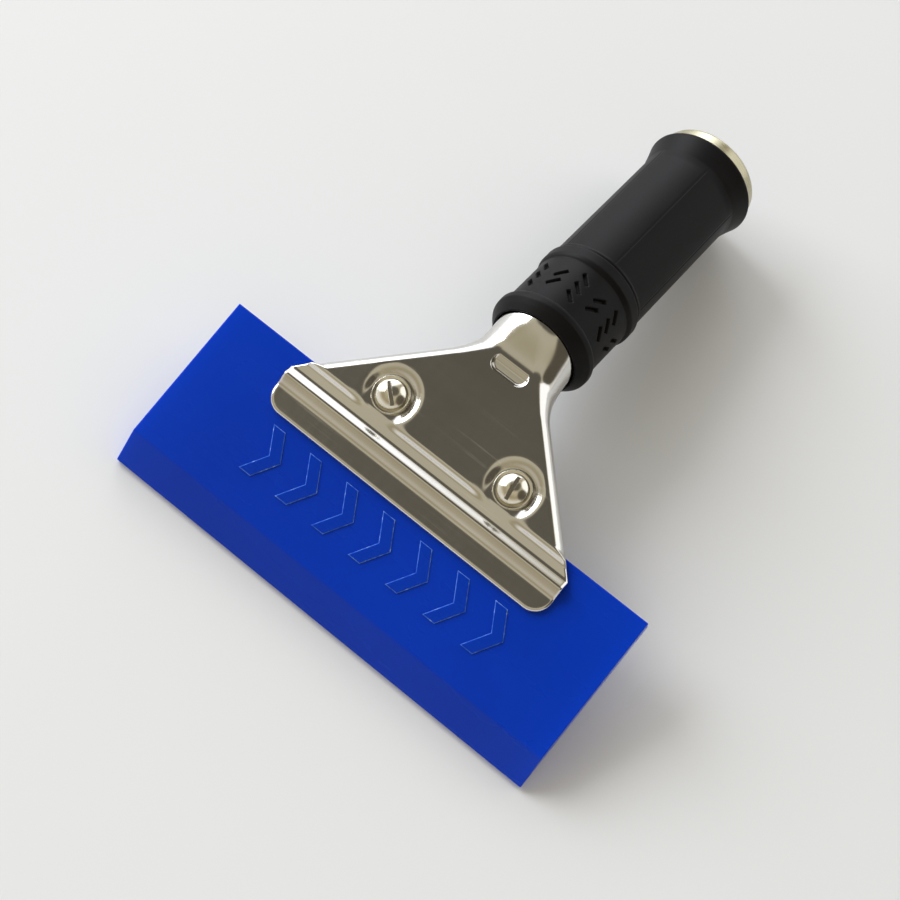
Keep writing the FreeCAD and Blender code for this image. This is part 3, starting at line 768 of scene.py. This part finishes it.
def urethane():
    """Deep blue cast urethane, faintly smeared, its colour painted lighter towards both ends of the blade as
    a painted glow of light coming through it.
    """
    n = Nodes("urethane_blue")
    cloud = n.noise(28, (0.5, 1, 1), 3)
    # Painted glow: the colour is lighter towards both ends of the blade, standing in for light that comes
    # through the urethane there
    ends = n.math("ABSOLUTE", n.axis("X"))
    outward = n.math("MULTIPLY", ends, 1 / (BLADE_LENGTH / 2 * MM))
    painted_end_glow = n.ramp(outward, [(0.0, 0.0), (0.72, 0.12), (0.93, 0.45), (1.0, 1.0)])
    base = n.ramp(cloud, [(0.3, (0.001, 0.034, 0.42)), (0.7, (0.0015, 0.040, 0.48))])
    bright = n.mix(painted_end_glow, base, (0.001, 0.046, 0.55))
    n.colour(bright)
    smear = n.noise(90, (0.25, 1, 1), 5, (0, 0, 35))
    n.roughness(smear, 0.2, 0.34)
    n.bump(n.noise(2600, (1, 1, 1), 3), 0.00002, 0.35)
    n.set(IOR=1.5, Specular_IOR_Level=0.16, Subsurface_Weight=0.25, Subsurface_Scale=0.003)
    n.shader.inputs["Subsurface Radius"].default_value = (0.15, 0.45, 1.0)
    return n.material


def urethane_rim_painted_highlight():
    """The thin polished edges of the raised marks, coloured a lighter blue as a painted highlight of light
    coming through them.
    """
    n = Nodes("urethane_rim_painted_highlight")
    cloud = n.noise(700, (1, 1, 1), 3)
    # Painted highlight: these lighter blues stand in for the light the polished rims catch and carry
    n.colour(n.ramp(cloud, [
        (0.35, (0.03, 0.13, 0.68)), (0.6, (0.12, 0.27, 0.84)), (0.7, (0.45, 0.62, 0.95)),
    ]))
    n.roughness(cloud, 0.12, 0.25)
    n.bump(n.noise(2600, (1, 1, 1), 3), 0.00002, 0.3)
    n.set(IOR=1.5, Specular_IOR_Level=0.55)
    return n.material


def polished_steel():
    """Stamped and polished stainless sheet with fine hairline scratches."""
    n = Nodes("polished_steel")
    lines = n.noise(900, (0.03, 1, 1), 4, (0, 0, 38))
    cross = n.noise(700, (1, 0.025, 1), 3, (0, 0, 20))
    cloud = n.noise(45, (1, 1, 1), 4)
    tone = n.ramp(cloud, [(0.3, (0.65, 0.635, 0.605)), (0.7, (0.71, 0.695, 0.665))])
    where_worn = n.ramp(cloud, [(0.42, 0.0), (0.62, 0.6)])
    scratches = n.math("MULTIPLY", n.ramp(lines, [(0.6, 0.0), (0.72, 1.0)]), where_worn)
    n.colour(n.mix(scratches, tone, (0.92, 0.9, 0.86)))
    n.roughness(n.math("ADD", n.mix(0.5, lines, cross), scratches), 0.07, 0.2)
    first = n.bump(lines, 0.000004, 0.5)
    n.bump(cross, 0.000004, 0.4, first)
    n.set(Metallic=1.0)
    return n.material


def fastener_steel():
    """Warm bright plating of the screws, washers and nuts, slightly cloudy."""
    n = Nodes("fastener_steel")
    cloud = n.noise(420, (1, 1, 1), 4)
    n.colour(n.ramp(cloud, [(0.3, (0.68, 0.645, 0.55)), (0.75, (0.80, 0.765, 0.68))]))
    n.roughness(cloud, 0.1, 0.24)
    n.bump(n.noise(1500, (1, 1, 1), 3), 0.000012, 0.5)
    n.set(Metallic=1.0)
    return n.material


def tube_steel():
    """Dull drawn steel of the tube inside the grip."""
    n = Nodes("tube_steel")
    cloud = n.noise(160, (1, 8, 1), 4)
    n.colour(n.ramp(cloud, [(0.3, (0.42, 0.42, 0.42)), (0.7, (0.55, 0.55, 0.54))]))
    n.roughness(cloud, 0.3, 0.45)
    n.bump(cloud, 0.00001, 0.4)
    n.set(Metallic=1.0)
    return n.material


def grip_rubber():
    """Matt black moulded rubber with a fine skin and a little dust in its pores."""
    n = Nodes("grip_rubber")
    cloud = n.noise(60, (1, 1, 1), 5)
    pores = n.noise(3000, (1, 1, 1), 3)
    tone = n.ramp(cloud, [(0.3, (0.0048, 0.0042, 0.0046)), (0.7, (0.0072, 0.0064, 0.0069))])
    n.colour(n.mix(n.ramp(pores, [(0.62, 0.0), (0.8, 0.35)]), tone, (0.03, 0.03, 0.03)))
    n.roughness(cloud, 0.4, 0.52)
    n.bump(pores, 0.00003, 0.4)
    n.set(Specular_IOR_Level=0.11)
    return n.material


def plated_steel():
    """Champagne coloured plating with turned lines round the ring."""
    n = Nodes("plated_steel")
    lines = n.noise(2600, (0.12, 1, 0.12), 3)
    cloud = n.noise(90, (1, 1, 1), 4)
    n.colour(n.ramp(cloud, [(0.3, (0.39, 0.36, 0.25)), (0.7, (0.49, 0.455, 0.325))]))
    n.roughness(lines, 0.2, 0.36)
    n.bump(lines, 0.000008, 0.5)
    n.set(Metallic=1.0)
    return n.material


def rivet_alloy():
    """Plain grey alloy of the hidden rivets."""
    n = Nodes("rivet_alloy")
    cloud = n.noise(500, (1, 1, 1), 4)
    n.colour(n.ramp(cloud, [(0.3, (0.62, 0.62, 0.63)), (0.7, (0.75, 0.75, 0.76))]))
    n.roughness(cloud, 0.28, 0.42)
    n.bump(cloud, 0.00001, 0.5)
    n.set(Metallic=1.0)
    return n.material


def floor_paint():
    """A pale matt table top with hardly any gloss."""
    n = Nodes("floor_paint")
    cloud = n.noise(3, (1, 1, 1), 4)
    n.colour(n.ramp(cloud, [(0.3, (0.775, 0.78, 0.795)), (0.7, (0.79, 0.795, 0.81))]))
    n.roughness(cloud, 0.5, 0.6)
    n.bump(n.noise(900, (1, 1, 1), 3), 0.00002, 0.2)
    n.set(Specular_IOR_Level=0.1)
    return n.material


STEEL = polished_steel()
FASTENER = fastener_steel()


def add_washer(side, x):
    """A thin ring, dished a little towards its edge, on the floor of the screw dimple."""
    ring = rounded([
        (WASHER_BORE, 0), (WASHER_BORE, WASHER_THICKNESS), (HEAD_RADIUS - 0.1, WASHER_THICKNESS),
        (WASHER_RADIUS - 0.2, WASHER_THICKNESS + WASHER_DISH), (WASHER_RADIUS, WASHER_THICKNESS),
        (WASHER_RADIUS, 0),
    ], WASHER_ROUND)
    at = TO_ROW @ Matrix.Translation((x, SCREW_Y, RECESS_FLOOR)) @ UPRIGHT
    washer = add_piece(f"washer_{side}_ring", lathe(ring), FASTENER, "handle",
                       [f"washer_{side}"], at)
    shade(washer, 60)


def add_screw(side, x):
    """A slotted screw, its head on the washer."""
    at = TO_ROW @ Matrix.Translation((x, SCREW_Y, RECESS_FLOOR + WASHER_THICKNESS))
    screw = add_piece(f"screw_{side}_slotted", screw_mesh(SLOT_ANGLES[side]), FASTENER, f"screw_{side}",
                      [f"screw_{side}"], at)
    shade(screw, 24)


def add_nut(side, x):
    """A hexagon nut under the lower jaw, its chamfered face down."""
    corner = NUT_ACROSS_FLATS / math.sqrt(3)
    section = [
        (NUT_BORE + 0.2, 0), (NUT_BORE, 0.2), (NUT_BORE, NUT_HEIGHT - 0.25), (NUT_BORE + 0.25, NUT_HEIGHT),
        (corner - 0.55, NUT_HEIGHT), (corner - 0.2, NUT_HEIGHT - 0.25), (corner + 0.1, NUT_HEIGHT - 0.7),
        (corner + 0.1, 0),
    ]
    at = TO_ROW @ Matrix.Translation((x, SCREW_Y, 2 * MID_Z - RECESS_FLOOR)) @ UPRIGHT.inverted()
    nut = add_piece(f"nut_{side}_hex", lathe(section, 96, True, nut_radius), FASTENER, "lower_jaw",
                    [f"nut_{side}"], at)
    shade(nut, 25)


def build_head():
    """Both jaws, and a washer, a screw and a nut on each side."""
    half_head("upper_shell_sheet", False, STEEL, "handle", "upper_shell")
    half_head("lower_shell_sheet", True, STEEL, "lower_jaw", "lower_shell")
    for side, x in (("left", -SCREW_X), ("right", SCREW_X)):
        add_washer(side, x)
        add_screw(side, x)
        add_nut(side, x)


def build_blade():
    """The blade, its flat faces kept flat right up to the rounded edges."""
    piece = add_piece("blade_urethane", blade_mesh(), urethane(), "blade", ["blade"])
    piece.data.materials.append(urethane_rim_painted_highlight())
    shade(piece, 60)
    weighted = piece.modifiers.new("even", "WEIGHTED_NORMAL")
    weighted.keep_sharp = True
    weighted.weight = 90


def build_handle():
    """The rubber grip and the plated ring that closes it."""
    grip = add_piece("grip_moulded", grip_mesh(), grip_rubber(), "handle", ["grip_sleeve"],
                     IN_HANDLE)
    shade(grip, 60)
    section = [
        (SOCKET_RADIUS, SOCKET_START), (SPIGOT_RADIUS, SOCKET_START), (SPIGOT_RADIUS, FERRULE_START),
        (FERRULE_RADIUS, FERRULE_START),
    ]
    for step in range(9):
        angle = math.radians(90 * step / 8)
        section.append((
            FERRULE_RADIUS - FERRULE_ROUND * (1 - math.cos(angle)),
            FERRULE_END - FERRULE_ROUND * (1 - math.sin(angle)),
        ))
    section += [(SOCKET_RADIUS + SOCKET_CHAMFER, FERRULE_END), (SOCKET_RADIUS, FERRULE_END - SOCKET_CHAMFER)]
    ring = add_piece("end_ring_plated", lathe(section, 144), plated_steel(), "handle",
                     ["end_ferrule"], IN_HANDLE)
    shade(ring, 35)


def finish_carried_nodes():
    """Give the CAD pieces that stay as they are their own materials."""
    tube = tube_steel()
    rivet = rivet_alloy()
    for name, material in (("core_tube", tube), ("rivet_front", rivet), ("rivet_rear", rivet)):
        data = frame["nodes"][name].data
        data.materials.clear()
        data.materials.append(material)


# Daylight lamps, in metres and watts: name, place, size, power
LAMPS = (
    ("window_left", (-2.1, 0.1, 1.22), (1.8, 1.4), 47.2),
    ("window_back", (-1.5, 2.0, 0.98), (1.4, 1.0), 10.0),
)
LAMP_COLOUR = (0.93, 0.965, 1.0)
LAMP_AIM = (0, 0, 0.02)
FLOOR_REACH = 4.0


def area_light(name, place, size, power):
    """A rectangular lamp that points at the tool."""
    data = bpy.data.lights.new(name, "AREA")
    data.shape = "RECTANGLE"
    data.size, data.size_y = size
    data.energy = power
    data.color = LAMP_COLOUR
    light = bpy.data.objects.new(name, data)
    bpy.context.scene.collection.objects.link(light)
    light.location = place
    light.rotation_euler = (Vector(LAMP_AIM) - Vector(place)).to_track_quat("-Z", "Y").to_euler()


def build_stage():
    """The plain pale floor, the lamps, and colours shown as they are."""
    mesh = bmesh.new()
    bmesh.ops.create_grid(mesh, x_segments=12, y_segments=12, size=FLOOR_REACH)
    data = bpy.data.meshes.new("floor")
    mesh.to_mesh(data)
    mesh.free()
    data.materials.append(floor_paint())
    floor = bpy.data.objects.new("floor", data)
    bpy.context.scene.collection.objects.link(floor)
    for lamp in LAMPS:
        area_light(*lamp)
    bpy.context.scene.view_settings.view_transform = "Standard"


# Light reaching the table from each height, from the horizon (0) up to straight overhead (1)
SKY = (
    (0.0, (0.95, 0.94, 0.92)), (0.2, (0.84, 0.81, 0.74)), (0.34, (0.60, 0.545, 0.435)),
    (0.5, (0.43, 0.375, 0.25)), (0.62, (0.44, 0.39, 0.26)), (0.8, (0.58, 0.53, 0.40)),
    (1.0, (0.56, 0.52, 0.39)),
)
# Bright or dark parts of the room: towards, where it starts and is full (as cosines), colour
ROOM = (
    ((-0.80, 0.58, 0.15), 0.61, 0.76, (1.75, 1.8, 1.88)),
    ((0.52, 0.73, 0.44), 0.88, 0.93, (1.5, 1.5, 1.5)),
    ((0.85, 0.0, 0.53), 0.86, 0.93, (0.11, 0.095, 0.07)),
    ((-0.05, 0.15, 0.987), 0.84, 0.915, (0.131, 0.118, 0.094)),
)


def build_world():
    """A plain room: bright windows to the left and back, a dim ceiling and a darker right side."""
    world = bpy.data.worlds.new("studio")
    bpy.context.scene.world = world
    world.use_nodes = True
    tree = world.node_tree
    towards = tree.nodes.new("ShaderNodeTexCoord").outputs["Generated"]
    split = tree.nodes.new("ShaderNodeSeparateXYZ")
    ramp = tree.nodes.new("ShaderNodeValToRGB")
    tree.links.new(towards, split.inputs[0])
    tree.links.new(split.outputs["Z"], ramp.inputs["Fac"])
    elements = ramp.color_ramp.elements
    while len(elements) < len(SKY):
        elements.new(0.5)
    for element, (at, colour) in zip(elements, SKY):
        element.position = at
        element.color = (*colour, 1)
    light = ramp.outputs["Color"]
    for direction, start, full, colour in ROOM:
        dot = tree.nodes.new("ShaderNodeVectorMath")
        dot.operation = "DOT_PRODUCT"
        dot.inputs[1].default_value = Vector(direction).normalized()
        tree.links.new(towards, dot.inputs[0])
        reach = tree.nodes.new("ShaderNodeMapRange")
        reach.interpolation_type = "SMOOTHSTEP"
        reach.inputs["From Min"].default_value = start
        reach.inputs["From Max"].default_value = full
        tree.links.new(dot.outputs["Value"], reach.inputs["Value"])
        mix = tree.nodes.new("ShaderNodeMix")
        mix.data_type = "RGBA"
        mix.inputs[7].default_value = (*colour, 1)
        tree.links.new(reach.outputs["Result"], mix.inputs["Factor"])
        tree.links.new(light, mix.inputs[6])
        light = mix.outputs[2]
    tree.links.new(light, tree.nodes["Background"].inputs["Color"])


# Camera: the way it looks and its roll in degrees, its place in metres, its lens and sensor in millimetres
CAMERA_AZIMUTH = -24.8999
CAMERA_ELEVATION = 64.1370
CAMERA_ROLL = -15.3188
CAMERA_PLACE = (0.088927, -0.222974, 0.45396)
CAMERA_LENS = 80.0
CAMERA_SENSOR = 36.0


def build_camera():
    """Camera at the angle of the view: direction, then a roll about the line of sight."""
    azimuth = math.radians(CAMERA_AZIMUTH)
    elevation = math.radians(CAMERA_ELEVATION)
    roll = math.radians(CAMERA_ROLL)
    level = math.cos(elevation)
    forward = Vector((math.sin(azimuth) * level, math.cos(azimuth) * level, -math.sin(elevation)))
    right = forward.cross(Vector((0, 0, 1))).normalized()
    up = right.cross(forward)
    turned_up = up * math.cos(roll) + right * math.sin(roll)
    turned_right = right * math.cos(roll) - up * math.sin(roll)
    data = bpy.data.cameras.new("camera")
    data.sensor_width = CAMERA_SENSOR
    data.lens = CAMERA_LENS
    camera = bpy.data.objects.new("camera", data)
    bpy.context.scene.collection.objects.link(camera)
    place = Matrix((turned_right, turned_up, -forward)).transposed().to_4x4()
    place.translation = CAMERA_PLACE
    camera.matrix_world = place
    bpy.context.scene.camera = camera


build_camera()
build_blade()
build_head()
build_handle()
finish_carried_nodes()
build_stage()
build_world()
